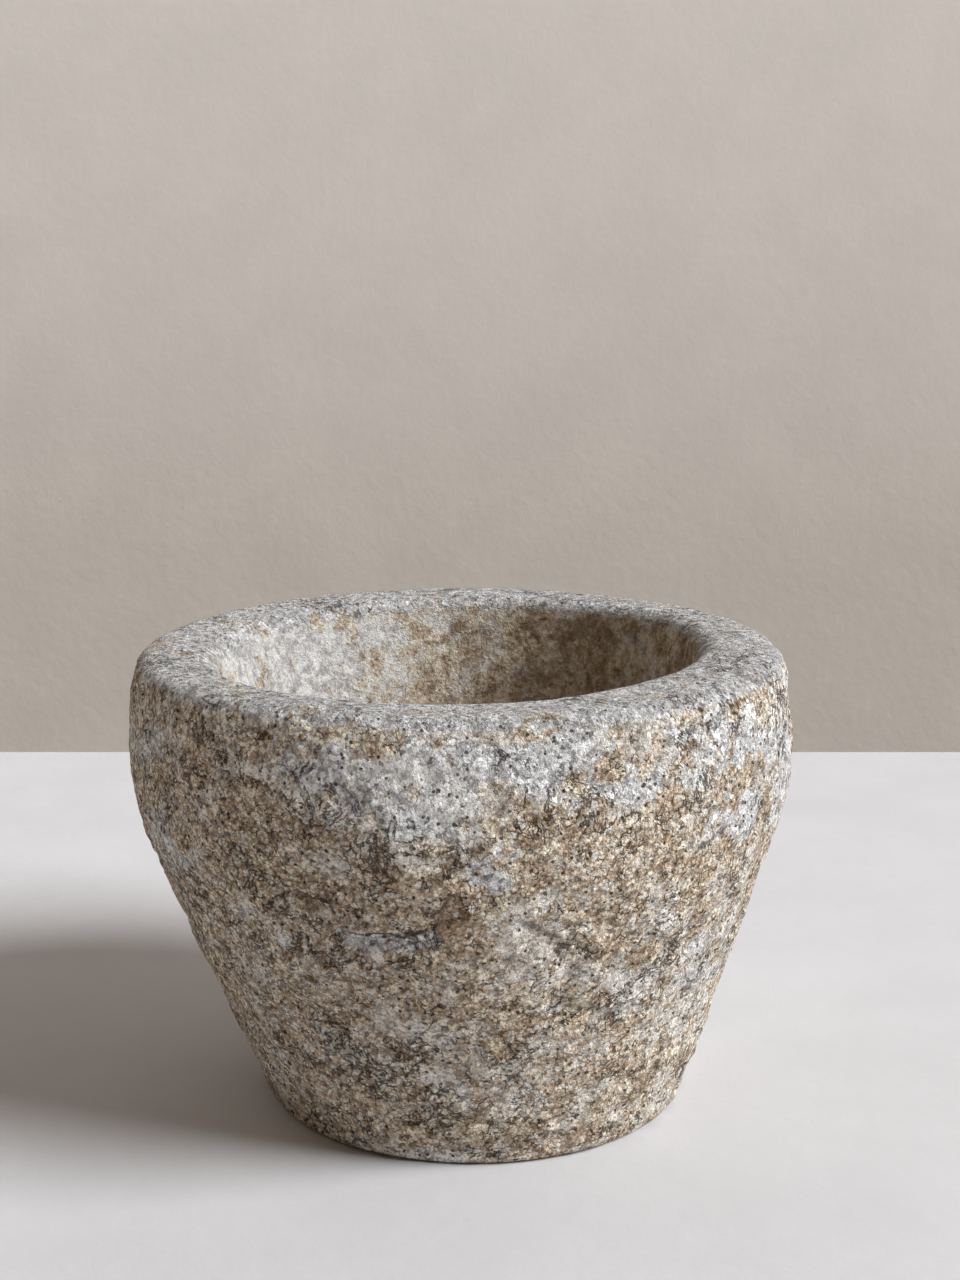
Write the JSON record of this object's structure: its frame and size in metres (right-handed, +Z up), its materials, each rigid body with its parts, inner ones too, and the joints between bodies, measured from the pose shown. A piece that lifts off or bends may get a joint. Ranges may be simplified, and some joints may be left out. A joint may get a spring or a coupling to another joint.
{
  "type": "mortar and pestle",
  "caption": "Hand-cut granite mortar, a thick-rimmed stone bowl that tapers to a narrow flat foot, with a loose stone pestle leaning inside it.",
  "frame": {"origin": "on the resting surface, under the middle of the mortar's widest ring", "axes": "+Z up through the bowl's mouth; -Y is the side that faces the viewer in the usual view; +X to that viewer's right"},
  "size_m": [0.2312, 0.2305, 0.1622],
  "materials": {
    "mortar_granite": "matte",
    "pestle_granite": "matte"
  },
  "bodies": {
    "mortar": {"mortar": "mortar_granite"},
    "pestle": {"pestle": "pestle_granite"}
  },
  "joints": [
    {"name": "pestle_lift", "type": "slide", "parent": "mortar", "child": "pestle", "axis": [0, 0, 1], "range_m": [0, 0.13]}
  ]
}
